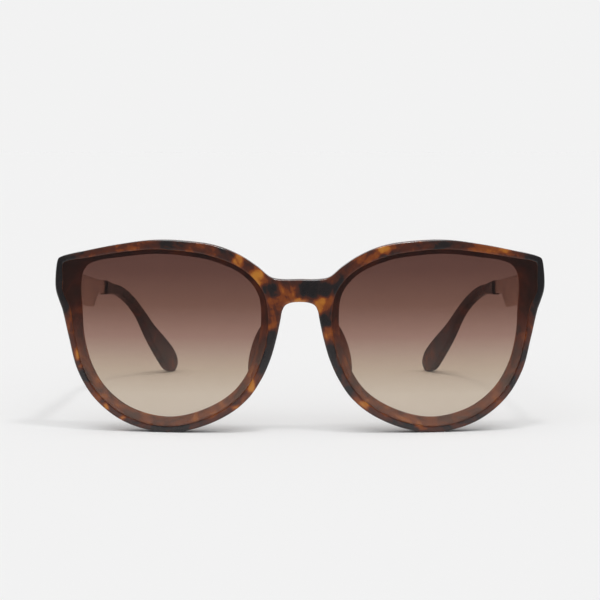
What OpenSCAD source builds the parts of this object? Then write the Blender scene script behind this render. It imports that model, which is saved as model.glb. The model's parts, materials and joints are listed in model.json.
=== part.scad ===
// Cat eye sunglasses: acetate front, inlaid gradient lenses, stepped metal temples with acetate tips.
// Millimetres. +X is the wearer's left, the front faces -Y, +Z is up.
// The glasses stand open on the rims and the temple tips, with the origin under their middle.

/* [Lenses] */
// Width of one lens
lens_w = 61.6; // [54:0.2:66]
// Height of one lens
lens_h = 52.8; // [46:0.2:58]
// Thickness of the lens
lens_t = 2; // [1.6:0.1:2.6]
// Distance between the two lenses
lens_gap = 18.8; // [16:0.2:24]
// Play all round the lens in its seat
lens_play = 0.05; // [0.02:0.01:0.1]

/* [Front] */
// Radius of the front's curve, seen from above
front_r = 345; // [260:5:600]
// Thickness of the rims
rim_t = 4.4; // [3.8:0.1:6]
// Width of the rim outside the lens
rim_border = 1.9; // [1.4:0.1:2.8]
// Extra width of the brow towards the nose
brow_extra = 1.8; // [0:0.1:3]
// Extra width of the rim beside the nose
nose_extra = 0.4; // [0:0.1:1]
// Width of the flange behind the lens
seat_w = 2.4; // [1.8:0.1:3]
// How much narrower the flange is under the brow
brow_slim = 1; // [0:0.1:1.2]
// How much wider the flange is towards the temples, and narrower towards the nose
seat_slant = 0.3; // [0:0.1:0.5]
// Depth of the end piece, measured at the hinge
end_t = 6.7; // [6.2:0.1:9]
// Width of the flange between the opening and the end piece
end_lip = 0.2; // [0.1:0.1:0.5]

/* [Bridge] */
// Height of the arch over the nose, above the surface that the rims stand on
arch_z = 39.3; // [35:0.1:42]
// Height of the bridge bar
bridge_h = 6.6; // [5:0.1:8.5]
// Width of the nose gap, just under the arch
nose_w = 10.8; // [8:0.1:13]

/* [Nose pads] */
// Length of the pad along the rim
pad_l = 18; // [12:0.5:19]
// Thickness of the pad
pad_t = 3.2; // [2.4:0.1:3.6]
// How far the pad stands out behind the rim
pad_reach = 6; // [4:0.1:8]
// Angle at which the pad opens towards the wearer
pad_splay = 28; // [18:1:34]
// Height of the middle of the pad
pad_z = 24; // [23:0.5:27]
// Distance from the rim's nasal edge to the pad
pad_inset = 0.4; // [0.2:0.1:0.8]

/* [Hinges] */
// Outer diameter of the hinge barrels
barrel_d = 2.6; // [2.4:0.1:3]
// Diameter of the hinge screw
screw_d = 1.4; // [1.2:0.1:1.6]
// Diameter of the screw's head
screw_head_d = 2.2; // [1.8:0.1:2.4]
// Height of the screw's head
screw_head_h = 0.7; // [0.5:0.1:1]
// Play between the screw and its bores
screw_play = 0.05; // [0.02:0.01:0.08]
// Height of the three barrels together
hinge_h = 7.4; // [6:0.1:8.4]
// Height of the middle barrel
mid_barrel_h = 3; // [2:0.1:3.6]
// Gap between barrels, and between the temple and the end piece
hinge_gap = 0.15; // [0.1:0.05:0.3]
// Thickness of both hinge leaves
leaf_t = 0.8; // [0.6:0.1:1]
// Length of the leaf on the temple
leaf_l = 9; // [6:0.5:12]
// Width of the leaf in the end piece
front_leaf_w = 4.2; // [3.6:0.1:4.8]
// Wall between that leaf and the inner side of the end piece
end_wall = 0.5; // [0.3:0.1:0.8]
// Depth of the foot that anchors the front leaf
foot_depth = 2.4; // [1:0.1:3]
// Play around the leaf and foot in the end piece
foot_play = 0.03; // [0.02:0.01:0.06]

/* [Temple arms] */
// Distance from the outer edge of the end piece in to the hinge axis
hinge_inset = 6.1; // [5.7:0.1:6.8]
// Distance from the front's outer corner down to the arm's upper edge
arm_inset = 2.6; // [2:0.1:3.4]
// Thickness of the metal arm
arm_t = 1.5; // [1.2:0.1:2]
// Height of the plate at the front of the arm
plate_h = 9.5; // [9:0.1:10.4]
// Length of the plate's lower edge
plate_l = 39; // [30:1:44]
// Length of the slanted step from plate to bar
step_l = 10; // [6:0.5:13]
// Height of the bar
bar_h = 4.2; // [3.8:0.1:4.8]
// Distance from the hinge axis to the tip's mouth
arm_l = 60; // [58:1:70]
// Angle at which the temples close in towards the back, seen from above
toe_in = 2.3; // [0:0.1:4]
// Distance from the hinge axis to where the temples start to bow towards the head
bow_start = 44; // [40:1:50]
// Radius of that bow
bow_r = 212; // [190:1:400]
// Angle at which the arms drop towards the back, seen from the side
arm_drop = 7.6; // [6:0.1:9]

/* [Temple tips] */
// Wall of the tip around the tang
tip_wall = 0.6; // [0.5:0.05:1]
// How far the tip's mouth stands proud of the bar, above and below
mouth_lip = 0.3; // [0.2:0.05:0.6]
// Height of the paddle at the tip's end
paddle_h = 8.2; // [7:0.1:10]
// Length of the paddle's rounded end
paddle_end = 7.4; // [4:0.1:9]
// How far the paddle's middle lies above the line of the tip's run
paddle_shift = 1.2; // [0:0.1:2]
// Share of the bend over which the tip stays slim
slim_share = 0.75; // [0.5:0.05:1]
// Straight run from the mouth to the bend
tip_straight = 12; // [10:0.5:16]
// Radius of the bend over the ear
ear_r = 58; // [48:1:64]
// Angle of the tip below level, past the bend
ear_drop = 43.5; // [38:0.5:48]
// Length of the metal tang inside the tip
tang_l = 8; // [5:0.5:9.5]
// Play around the tang
tang_play = 0.04; // [0.02:0.01:0.08]

/* [Hidden] */

$fn = 64;
curve_fn = 360;       // sides of the large cylinders of the front's curve
steps = 5;            // points in each span of a curve
past = 1;             // how far a cut runs past the surface that it opens
left = 1;
right = -1;

tortoise = [0.30, 0.15, 0.09];
dark_tortoise = [0.16, 0.10, 0.08];
brown_lens = [0.50, 0.37, 0.32, 0.75];
rose_gold = [0.86, 0.71, 0.62];
hinge_metal = [0.72, 0.64, 0.56];

lens_x = lens_gap / 2;     // nasal edge of the lens
lens_z = rim_border;       // lower edge of the lens, so that the rims stand on the surface

// The eye's shape as shares of the lens box: 0 is the nasal or lower edge, 1 the outer or upper edge.
eye_round = [
    [0.942, 0.50], [0.902, 0.32], [0.823, 0.17], [0.684, 0.05], [0.488, 0], [0.293, 0.054], [0.136, 0.175],
    [0.037, 0.373], [0, 0.60], [0.022, 0.76], [0.109, 0.88], [0.26, 0.96], [0.403, 0.99], [0.554, 1],
    [0.72, 0.98]
];
lens_wing = [
    [0.866, 0.951], [0.986, 0.924], [0.996, 0.911], [0.998, 0.826], [1, 0.765], [0.984, 0.719],
    [0.965, 0.669]
];
opening_wing = [[0.84, 0.957], [0.9, 0.926], [0.937, 0.87], [0.955, 0.78], [0.95, 0.66]];
// Steps from the lens to the rim's outer edge at the knots of lens_wing, in border widths.
wing_step = [
    [0.24, 1.1], [0.84, 0.73], [0.87, 0.74], [1.25, -0.1], [1.1, -0.1], [1.16, -0.35], [1.25, -0.44]
];
corner_knot = 2;           // the upper outer corner, counted in lens_wing
brow_knot = 11;            // where the bridge leaves the brow, counted in eye_round
nose_knot = 6;             // where the bridge leaves the nasal rim, counted in eye_round

// Points on a smooth curve through knots, evenly eased so that close knots make a tight corner.
function between(a, b, ta, tb, t) = a + (b - a) * (t - ta) / (tb - ta);
function curve_point(p0, p1, p2, p3, share) =
    let (
        t1 = sqrt(norm(p1 - p0)),
        t2 = t1 + sqrt(norm(p2 - p1)),
        t3 = t2 + sqrt(norm(p3 - p2)),
        t = t1 + (t2 - t1) * share,
        a1 = between(p0, p1, 0, t1, t),
        a2 = between(p1, p2, t1, t2, t),
        a3 = between(p2, p3, t2, t3, t),
        b1 = between(a1, a2, 0, t2, t),
        b2 = between(a2, a3, t1, t3, t)
    )
    between(b1, b2, t1, t2, t);
function closed_curve(k) =
    let (n = len(k))
    [for (i = [0 : n - 1], s = [0 : steps - 1])
        curve_point(k[(i + n - 1) % n], k[i], k[(i + 1) % n], k[(i + 2) % n], s / steps)];
// The first and last knots only set the directions at the ends.
function open_curve(k) =
    [for (i = [1 : len(k) - 3], s = [0 : steps - 1])
        curve_point(k[i - 1], k[i], k[i + 1], k[i + 2], s / steps)];

// Outward direction at a point of a loop that runs clockwise.
function loop_normal(loop, i) =
    let (n = len(loop), d = loop[(i + 1) % n] - loop[(i + n - 1) % n])
    [-d.y, d.x] / norm(d);
function grown(loop, by) = [for (i = [0 : len(loop) - 1]) loop[i] + by * loop_normal(loop, i)];

// Outlines of the left eye, seen from the front. The flange behind the lens is slim under the brow.
function eye_loop(wing) =
    closed_curve([for (k = concat(eye_round, wing)) [lens_x + k.x * lens_w, lens_z + k.y * lens_h]]);
lens_loop = eye_loop(lens_wing);
seat_line = eye_loop(opening_wing);
opening_loop = [
    for (i = [0 : len(seat_line) - 1])
        let (n = loop_normal(seat_line, i))
        seat_line[i] - (seat_w + seat_slant * n.x - brow_slim * max(0, n.y)) * n
];

// The border is widest at the inner brow and thins towards the wing, which ends in a keen corner.
function border(p, n) =
    rim_border + nose_extra * max(0, -n.x) + brow_extra * max(0, n.y) * (1 - (p.x - lens_x) / lens_w);
rim_loop = closed_curve(concat(
    [for (i = [0 : len(eye_round) - 1])
        let (p = lens_loop[i * steps], n = loop_normal(lens_loop, i * steps))
        p + border(p, n) * n],
    [for (i = [0 : len(lens_wing) - 1])
        lens_loop[(len(eye_round) + i) * steps] + rim_border * wing_step[i]]
));
rim_points = len(rim_loop);
rim_arc_points = rim_points - (brow_knot - nose_knot) * steps;
rim_arc = [for (i = [0 : rim_arc_points]) rim_loop[(brow_knot * steps + i) % rim_points]];
arc_end = len(rim_arc) - 1;

// The bridge: a flat top that rises into the brows, and an arch that runs down into the nasal rims.
bridge_top = arch_z + bridge_h;
nose_half = nose_w / 2;
flat_half = 0.6 * lens_x;  // half the flat part of the bridge's top
// Where the top turns up into the brow.
shoulder = [0.925 * lens_x, bridge_top + 0.1 * bridge_h];
// Knots from there to the brow: [share of the way, out, up], the last two in bridge heights off the line.
brow_swell = [[0.24, -0.03, 0.106], [0.56, 0, 0.182]];
bridge_upper = open_curve(concat(
    [[-flat_half, bridge_top], [0, bridge_top], [flat_half, bridge_top], shoulder],
    [for (k = brow_swell) between(shoulder, rim_arc[0], 0, 1, k[0]) + bridge_h * [k[1], k[2]]],
    [rim_arc[0], rim_arc[steps]]
));
// Knots from the nasal rim up to the arch: [share of the way, swell to the nose in half nose gaps].
flank_swell = [[0.25, 0.35], [0.50, 0.39], [0.75, 0.24]];
// Knots of the arch's corner, in half nose gaps: [out from the gap's side, down from the arch's top].
arch_corner = [[0.055, 0.925], [-0.02, 0.52], [-0.185, 0.205], [-0.48, 0.055]];
flank_low = rim_arc[arc_end];
arch_bend = [for (k = arch_corner) [nose_half, arch_z] + nose_half * [k.x, -k.y]];
flank_top = arch_bend[0];
flank = [for (k = flank_swell) between(flank_low, flank_top, 0, 1, k[0]) - [nose_half * k[1], 0]];
bridge_lower = open_curve(concat(
    [rim_arc[arc_end - steps], flank_low],
    flank,
    arch_bend,
    [[0, arch_z], [-nose_half, arch_z]]
));
left_outline = concat(
    bridge_upper,
    rim_arc,
    [for (i = [1 : len(bridge_lower) - 1]) bridge_lower[i]],
    [[0, arch_z]]
);
front_outline = concat(
    left_outline,
    [for (i = [len(left_outline) - 2 : -1 : 1]) [-left_outline[i].x, left_outline[i].y]]
);

// How far the curved front lies behind the bridge at a distance from the middle.
function sag(x) = front_r - sqrt(front_r * front_r - x * x);
front_h = max([for (p = front_outline) p.y]);
front_half_w = max([for (p = front_outline) p.x]);
opening_max_x = max([for (p = opening_loop) p.x]);
corner_z = lens_z + lens_wing[corner_knot].y * lens_h;

// The hinge: the butt is the flat back of the end piece, and the axis lies behind it.
barrel_r = barrel_d / 2;
axis_x = front_half_w - hinge_inset;
butt_y = sag(axis_x) + end_t;
axis_y = butt_y + hinge_gap + barrel_r;
screw_bore_r = screw_d / 2 + screw_play;
arm_inner = barrel_r + hinge_gap;       // inner face of the arm, from the axis
arm_outer = arm_inner + arm_t;
arm_top_z = corner_z - arm_inset;
hinge_mid_z = arm_top_z - plate_h / 2;
hinge_low = hinge_mid_z - hinge_h / 2;
end_barrel_h = (hinge_h - mid_barrel_h) / 2 - hinge_gap;
end_piece_low = arm_top_z - plate_h - end_wall;
end_piece_x = opening_max_x + end_lip;  // inner side of the end piece

// The temple in its own frame: the hinge axis is at 0, +Y runs along the arm, +X away from the head.
butt = -barrel_r;
arm_mid = (arm_inner + arm_outer) / 2;
function arm_upper(y) = arm_top_z - tan(arm_drop) * y;
function arm_mid_z(y) = arm_upper(y) - bar_h / 2;

// The tip is slim over the tang, bends round the ear and ends in a paddle that stands on the surface.
tang_h = bar_h / 2;
tip_t = arm_t + 2 * (tang_play + tip_wall);
tip_h = bar_h + 2 * mouth_lip;
neck_h = tang_h + 2 * (tang_play + tip_wall);
paddle_r = paddle_h / 2;
bend_y = arm_l + tip_straight;
bend_z = arm_mid_z(bend_y);
bend_end_y = bend_y + ear_r * (sin(ear_drop) - sin(arm_drop));
bend_end_z = bend_z - ear_r * (cos(arm_drop) - cos(ear_drop));
paddle_z = norm([paddle_end * sin(ear_drop), paddle_r * cos(ear_drop)]);
run_l = (bend_end_z + paddle_shift * cos(ear_drop) - paddle_z) / sin(ear_drop);
run_end_y = bend_end_y + run_l * cos(ear_drop);
tip_end_y = run_end_y + paddle_shift * sin(ear_drop);
swell_y = bend_y + slim_share * (bend_end_y - bend_y);
straight_share = [0 : 0.1 : 0.9];
bend_share = [0 : 0.1 : 1];
run_share = [0.2 : 0.2 : 1];
bow_share = [0 : 0.05 : 1];

// Points of the tip's middle line from the side: [along, height, angle below level].
tip_line = concat(
    [for (s = straight_share)
        let (y = arm_l + tip_straight * s)
        [y, arm_mid_z(y), arm_drop]],
    [for (s = bend_share)
        let (a = arm_drop + (ear_drop - arm_drop) * s)
        [
            bend_y + ear_r * (sin(a) - sin(arm_drop)),
            bend_z - ear_r * (cos(arm_drop) - cos(a)),
            a
        ]],
    [for (s = run_share)
        [bend_end_y + run_l * cos(ear_drop) * s, bend_end_z - run_l * sin(ear_drop) * s, ear_drop]]
);
// Half the tip's height: it eases from the mouth to the neck, which lasts through most of the bend,
// then to the paddle, whose middle eases off the line on the way down.
function eased(a, b, s) = a + (b - a) * s * s * (3 - 2 * s);
function tip_half(y) =
    y < bend_y
    ? eased(tip_h, neck_h, (y - arm_l) / tip_straight) / 2
    : eased(neck_h, paddle_h, min(1, max(0, y - swell_y) / (run_end_y - swell_y))) / 2;
function tip_shift(y) =
    y < bend_end_y ? 0 : eased(0, paddle_shift, min(1, (y - bend_end_y) / (run_end_y - bend_end_y)));
function off_line(p, by) = [p[0] + by * sin(p[2]), p[1] + by * cos(p[2])];
tip_side = concat(
    [for (p = tip_line) off_line(p, tip_shift(p[0]) + tip_half(p[0]))],
    [for (a = [80 : -10 : -80])
        let (along = paddle_end * cos(a))
        off_line(
            [tip_end_y + along * cos(ear_drop), paddle_z - along * sin(ear_drop), ear_drop],
            paddle_r * sin(a)
        )],
    [for (i = [len(tip_line) - 1 : -1 : 0])
        let (p = tip_line[i]) off_line(p, tip_shift(p[0]) - tip_half(p[0]))]
);

// The temple from above: a straight plate, then one long bow towards the head.
step_end = plate_l + step_l;
tip_max_y = tip_end_y + norm([paddle_end * cos(ear_drop), paddle_r * sin(ear_drop)]);
function bow_x(y) =
    let (along = max(0, y - bow_start))
    arm_mid - bow_r + sqrt(bow_r * bow_r - along * along);
function bow_band(y0, y1, t) =
    let (
        bow_y = max(y0, bow_start),
        ys = concat(y0 < bow_y ? [y0] : [], [for (s = bow_share) bow_y + (y1 - bow_y) * s]),
        n = len(ys)
    )
    concat(
        [for (i = [0 : n - 1]) [bow_x(ys[i]) + t / 2, ys[i]]],
        [for (i = [n - 1 : -1 : 0]) [bow_x(ys[i]) - t / 2, ys[i]]]
    );

// Depth of the whole object, from the bridge to the ends of the tips.
depth = axis_y + tip_max_y * cos(toe_in) + (bow_x(tip_max_y) + tip_t / 2) * sin(toe_in);

// A front outline drawn in X and Z, made solid from y0 to y1.
module upright(points, y0, y1) {
    translate([0, y1, 0])
        rotate([90, 0, 0])
            linear_extrude(height = y1 - y0)
                polygon(points);
}

// All the space behind the curved front, from a depth below its surface.
module behind_front(d) {
    translate([0, front_r, -past])
        cylinder(r = front_r - d, h = front_h + 2 * past, $fn = curve_fn);
}

// A box from one corner to the opposite one.
module span(a, b) {
    translate(a) cube(b - a);
}

// Moves the glasses so that the origin lies under the middle, and mirrors a left piece for the right.
module place(side) {
    translate([0, -depth / 2, 0])
        mirror([side == left ? 0 : 1, 0, 0])
            children();
}

// Turns a piece of the temple about the hinge axis to where it lies when open.
module on_temple() {
    translate([axis_x, axis_y, 0]) rotate([0, 0, toe_in]) children();
}

// The front leaf and its foot, grown by the play for the pocket that they are sunk into.
module front_leaf(play) {
    leaf_x = end_piece_x + end_wall;
    foot_x = leaf_x + front_leaf_w / 2;
    foot_half_h = hinge_h / 4;
    span(
        [leaf_x - play, butt_y - leaf_t - play, hinge_low - play],
        [leaf_x + front_leaf_w + play, butt_y + (play > 0 ? past : 0), hinge_low + hinge_h + play]
    );
    span(
        [foot_x - leaf_t / 2 - play, butt_y - leaf_t - foot_depth - play, hinge_mid_z - foot_half_h - play],
        [foot_x + leaf_t / 2 + play, butt_y - leaf_t, hinge_mid_z + foot_half_h + play]
    );
}

// The lens outline from its front to any depth below the front's surface.
module lens_block(play, d) {
    difference() {
        upright(grown(lens_loop, play), -past, butt_y);
        behind_front(d);
    }
}

module front_body() {
    intersection() {
        upright(front_outline, -past, butt_y);
        behind_front(0);
        union() {
            difference() {
                span([-front_half_w - past, -past, -past], [front_half_w + past, butt_y, front_h + past]);
                behind_front(rim_t);
            }
            for (side = [left, right])
                mirror([side == left ? 0 : 1, 0, 0])
                    span(
                        [end_piece_x, 0, end_piece_low],
                        [front_half_w + past, butt_y, front_h + past]
                    );
        }
    }
}

module front_frame() {
    color(tortoise)
        translate([0, -depth / 2, 0])
            difference() {
                front_body();
                for (side = [left, right])
                    mirror([side == left ? 0 : 1, 0, 0]) {
                        lens_block(lens_play, lens_t);
                        upright(opening_loop, -past, butt_y + past);
                        front_leaf(foot_play);
                    }
            }
}

module lens(side) {
    color(brown_lens)
        place(side)
            intersection() {
                lens_block(0, lens_t);
                behind_front(0);
            }
}

// A rounded fin that leans along the nasal rim and opens towards the wearer.
pad_foot = flank[0];
pad_lean = atan((pad_foot.x - flank_top.x) / (flank_top.y - pad_foot.y));
pad_x = between(pad_foot.x, flank_top.x, pad_foot.y, flank_top.y, pad_z) + pad_inset;
pad_outline = [
    for (a = [-90 : 10 : 90])
        [pad_reach * cos(a), pad_l / 2 * sin(a)]
];
module nose_pad(side) {
    color(tortoise)
        place(side)
            intersection() {
                translate([pad_x, rim_t, pad_z])
                    rotate([0, -pad_lean, -pad_splay])
                        rotate([90, 0, 90])
                            linear_extrude(height = pad_t)
                                polygon(concat([[-rim_t, pad_l / 2], [-rim_t, -pad_l / 2]], pad_outline));
                behind_front(rim_t);
            }
}

// One barrel with its bore along the hinge axis.
module barrel(z, h) {
    difference() {
        children();
        translate([0, 0, z - past]) cylinder(r = screw_bore_r, h = h + 2 * past);
    }
}

module front_hinge(side) {
    upper = hinge_low + hinge_h - end_barrel_h;
    color(hinge_metal)
        place(side) {
            front_leaf(0);
            for (z = [hinge_low, upper])
                translate([axis_x, axis_y, 0])
                    barrel(z, end_barrel_h) {
                        union() {
                            translate([0, 0, z]) cylinder(r = barrel_r, h = end_barrel_h);
                            span([-barrel_r, butt_y - axis_y, z], [barrel_r, 0, z + end_barrel_h]);
                        }
                    }
        }
}

module hinge_screw(side) {
    color(hinge_metal)
        place(side)
            translate([axis_x, axis_y, 0]) {
                translate([0, 0, hinge_low]) cylinder(r = screw_d / 2, h = hinge_h);
                translate([0, 0, hinge_low + hinge_h]) cylinder(r = screw_head_d / 2, h = screw_head_h);
            }
}

module temple_hinge(side) {
    mid_low = hinge_mid_z - mid_barrel_h / 2;
    leaf_start = barrel_r + hinge_gap;
    color(hinge_metal)
        place(side)
            on_temple()
                union() {
                    barrel(mid_low, mid_barrel_h)
                        union() {
                            translate([0, 0, mid_low]) cylinder(r = barrel_r, h = mid_barrel_h);
                            span([0, 0, mid_low], [arm_inner, leaf_start, mid_low + mid_barrel_h]);
                        }
                    span(
                        [arm_inner - leaf_t, leaf_start, hinge_low],
                        [arm_inner, leaf_start + leaf_l, hinge_low + hinge_h]
                    );
                }
}

// A side view in Y and Z, cut out of a band that follows the temple's bow from y0 to y1.
module bowed(points, y0, y1, t) {
    intersection() {
        translate([-front_half_w, 0, 0])
            rotate([90, 0, 90])
                linear_extrude(height = 2 * front_half_w)
                    polygon(points);
        linear_extrude(height = arm_top_z + past)
            polygon(bow_band(y0, y1, t));
    }
}

// The tang runs on from the middle of the bar; the tip's bore is the same shape with play.
function tang_points(y0, y1, play) =
    let (half = tang_h / 2 + play)
    [
        [y0, arm_mid_z(y0) + half], [y1, arm_mid_z(y1) + half],
        [y1, arm_mid_z(y1) - half], [y0, arm_mid_z(y0) - half]
    ];

// The stamped arm: plate, slanted step, bar and the narrower tang.
module temple_arm(side) {
    tang = tang_points(arm_l, arm_l + tang_l, 0);
    color(rose_gold)
        place(side)
            on_temple()
                bowed(
                    concat(
                        [[butt, arm_upper(butt)], [arm_l, arm_upper(arm_l)]],
                        tang,
                        [
                            [arm_l, arm_upper(arm_l) - bar_h],
                            [step_end, arm_upper(step_end) - bar_h],
                            [plate_l, arm_upper(plate_l) - plate_h],
                            [butt, arm_upper(butt) - plate_h]
                        ]
                    ),
                    butt - past, arm_l + tang_l + past, arm_t
                );
}

module temple_tip(side) {
    bore_end = arm_l + tang_l + tang_play;
    color(dark_tortoise)
        place(side)
            on_temple()
                difference() {
                    bowed(tip_side, arm_l - past, tip_max_y + past, tip_t);
                    bowed(
                        tang_points(arm_l - past, bore_end, tang_play),
                        arm_l - 2 * past, bore_end + past, arm_t + 2 * tang_play
                    );
                }
}

front_frame();
lens(left);  // left_lens
lens(right);  // right_lens
nose_pad(left);  // left_nose_pad
nose_pad(right);  // right_nose_pad
front_hinge(left);  // left_front_hinge
front_hinge(right);  // right_front_hinge
hinge_screw(left);  // left_hinge_screw
hinge_screw(right);  // right_hinge_screw
temple_hinge(left);  // left_temple_hinge
temple_hinge(right);  // right_temple_hinge
temple_arm(left);  // left_temple_arm
temple_arm(right);  // right_temple_arm
temple_tip(left);  // left_temple_tip
temple_tip(right);  // right_temple_tip
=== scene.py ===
import json
from math import cos, pi, radians, sin, sqrt, tan

import bmesh
import bpy
import numpy as np
from mathutils import Euler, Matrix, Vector, noise
from mathutils.geometry import delaunay_2d_cdt


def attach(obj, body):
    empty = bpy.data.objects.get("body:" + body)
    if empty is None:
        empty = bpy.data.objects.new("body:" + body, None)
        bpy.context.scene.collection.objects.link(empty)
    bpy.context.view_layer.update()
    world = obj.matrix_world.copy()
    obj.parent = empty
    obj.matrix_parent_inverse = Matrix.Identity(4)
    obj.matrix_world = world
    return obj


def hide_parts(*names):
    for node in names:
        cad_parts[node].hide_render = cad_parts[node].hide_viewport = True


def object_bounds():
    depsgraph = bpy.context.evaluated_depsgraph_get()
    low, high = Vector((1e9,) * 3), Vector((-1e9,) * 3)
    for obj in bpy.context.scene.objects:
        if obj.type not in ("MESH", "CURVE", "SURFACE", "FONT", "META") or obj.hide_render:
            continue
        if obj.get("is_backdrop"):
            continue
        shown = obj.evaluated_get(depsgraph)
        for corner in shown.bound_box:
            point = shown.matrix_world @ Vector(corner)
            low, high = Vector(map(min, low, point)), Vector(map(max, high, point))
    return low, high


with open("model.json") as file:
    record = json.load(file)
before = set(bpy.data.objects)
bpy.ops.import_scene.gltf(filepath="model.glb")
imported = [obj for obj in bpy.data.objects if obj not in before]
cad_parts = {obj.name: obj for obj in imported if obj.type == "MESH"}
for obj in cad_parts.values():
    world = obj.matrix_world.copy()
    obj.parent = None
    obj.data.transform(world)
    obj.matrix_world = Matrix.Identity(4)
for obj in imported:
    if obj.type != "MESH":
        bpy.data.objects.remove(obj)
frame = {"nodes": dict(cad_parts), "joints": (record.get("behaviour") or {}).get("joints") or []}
cad_low, cad_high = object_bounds()
scene = bpy.context.scene


# Viewpoint: a short telephoto half a metre in front of the bridge and a little above the brows, so
# that the floor and the open arms behind show through the lenses.

eye_distance, eye_height, look_down = 0.500, 0.086818, 5.3567
camera = bpy.data.objects.new("camera", bpy.data.cameras.new("camera"))
camera.data.sensor_width = 36
camera.data.lens = 102.195
camera.location = (0, cad_low.y - eye_distance, eye_height)
camera.rotation_euler = (radians(90 - look_down), 0, 0)
scene.collection.objects.link(camera)
scene.camera = camera


# Front frame: cut from a curved sheet of tortoise acetate, with both rims, the bridge and the end
# pieces in one. The edges are tumbled round, a seat is milled from the front for each lens, and the
# end pieces are left thick at the back for the hinges.

MM = 0.001
STEPS = 8                  # points in each span of a curve
ROW = 0.866                # height of a row of even triangles, as a share of their spacing
SIDES = {"left": 1, "right": -1}

lens_x, lens_z, lens_w, lens_h = 9.4, 1.9, 61.6, 52.8
front_r, rim_t, lens_t, border = 345, 4.4, 2.0, 1.9
flange_w, brow_w, nose_w = 2.4, 1.8, 0.4          # flange behind the lens, extra border at brow and nose
arch_z, bridge_h, nose_half = 39.3, 6.6, 5.4
edge_r, opening_r = 0.5, 0.4                      # tumbled edges, outside and round the openings
seat_gap, seat_mouth = 0.05, 0.17                 # play round the lens, inside and at the surface
hinge = Vector(frame["joints"][0]["pos_m"]) / MM - Vector((0, cad_low.y / MM, 0))
end_z, butt_y = hinge.z - 5.25, hinge.y - 1.45    # lower side and flat back of the end piece
butt_inset = 0.15                                 # how much lower that back is shown
step_w, step_lead = 0.6, 0.1                      # the step up to it, and how far ahead it starts

# Points in the plane of the front are complex numbers: across, and up times 1j.
eye_round = [
    (0.942, 0.50), (0.902, 0.32), (0.823, 0.17), (0.684, 0.05), (0.488, 0), (0.293, 0.054), (0.136, 0.175),
    (0.037, 0.373), (0, 0.60), (0.022, 0.76), (0.109, 0.88), (0.26, 0.96), (0.403, 0.99), (0.554, 1),
    (0.72, 0.98),
]
lens_wing = [
    (0.866, 0.951), (0.986, 0.924), (0.996, 0.911), (0.998, 0.826), (1, 0.765), (0.984, 0.719),
    (0.965, 0.669),
]
opening_wing = [(0.84, 0.957), (0.9, 0.926), (0.937, 0.87), (0.955, 0.78), (0.95, 0.66)]
wing_step = [0.24 + 1.1j, 0.84 + 0.73j, 0.87 + 0.74j, 1.25 - 0.1j, 1.1 - 0.1j, 1.16 - 0.35j, 1.25 - 0.44j]


def curve(knots, closed=False):
    """Points on a smooth curve through knots, eased so that close knots make a tight corner."""
    count = len(knots)
    points = []
    for i in range(count) if closed else range(1, count - 2):
        p0, p1, p2, p3 = (knots[(i + k) % count] for k in (-1, 0, 1, 2))
        t1 = sqrt(abs(p1 - p0))
        t2 = t1 + sqrt(abs(p2 - p1))
        t3 = t2 + sqrt(abs(p3 - p2))
        for step in range(STEPS):
            t = t1 + (t2 - t1) * step / STEPS
            a1 = p0 + (p1 - p0) * t / t1
            a2 = p1 + (p2 - p1) * (t - t1) / (t2 - t1)
            a3 = p2 + (p3 - p2) * (t - t2) / (t3 - t2)
            b1 = a1 + (a2 - a1) * t / t2
            b2 = a2 + (a3 - a2) * (t - t1) / (t3 - t1)
            points.append(b1 + (b2 - b1) * (t - t1) / (t2 - t1))
    return points


def outward(loop):
    """Directions that point out of a loop, which runs clockwise, at each of its points."""
    steps = [loop[(i + 1) % len(loop)] - loop[i - 1] for i in range(len(loop))]
    return [1j * step / abs(step) for step in steps]


def grown(loop, by):
    return [p + by * n for p, n in zip(loop, outward(loop))]


def as_drawn(loop):
    return loop


def mirrored(loop):
    return [-p.conjugate() for p in reversed(loop)]


HALVES = {"left": as_drawn, "right": mirrored}


def eye_loop(wing):
    return curve([complex(lens_x + x * lens_w, lens_z + z * lens_h) for x, z in eye_round + wing], True)


lens_loop = eye_loop(lens_wing)
seat_line = eye_loop(opening_wing)
opening_loop = [
    p - (flange_w + 0.3 * n.real - max(0, n.imag)) * n for p, n in zip(seat_line, outward(seat_line))
]
end_x = max(p.real for p in opening_loop) + 0.2   # inner side of the end piece

# The border round the lens is widest at the inner brow and steps out to a keen corner at the wing;
# bridge and arch join the two rims.
rim_knots = []
wing_start = len(eye_round) * STEPS
brow_knot, flank_knot = 11, 6                     # knots of the eye at which the bridge leaves the rim
for p, n in list(zip(lens_loop, outward(lens_loop)))[:wing_start:STEPS]:
    brow_extra = brow_w * max(0, n.imag) * (1 - (p.real - lens_x) / lens_w)
    nose_extra = nose_w * max(0, -n.real)
    rim_knots.append(p + (border + brow_extra + nose_extra) * n)
for p, step in zip(lens_loop[wing_start::STEPS], wing_step):
    rim_knots.append(p + border * step)
rim_loop = curve(rim_knots, True)
rim_end = (len(rim_knots) + flank_knot) * STEPS
rim_arc = [rim_loop[i % len(rim_loop)] for i in range(brow_knot * STEPS, rim_end + 1)]
brow, flank_low = rim_arc[0], rim_arc[-1]
top = complex(0, arch_z + bridge_h)
shoulder = complex(0.925 * lens_x, 0.1 * bridge_h) + top
brow_knots = [
    shoulder + (brow - shoulder) * share + bridge_h * lift
    for share, lift in ((0.24, -0.03 + 0.106j), (0.56, 0.182j))
]
arch_knots = [
    complex(nose_half * (1 + out), arch_z - nose_half * down)
    for out, down in ((0.055, 0.925), (-0.02, 0.52), (-0.185, 0.205), (-0.48, 0.055))
]
flank_knots = [
    flank_low + (arch_knots[0] - flank_low) * share - nose_half * swell
    for share, swell in ((0.25, 0.35), (0.50, 0.39), (0.75, 0.24))
]
arch_top = complex(0, arch_z)
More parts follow.
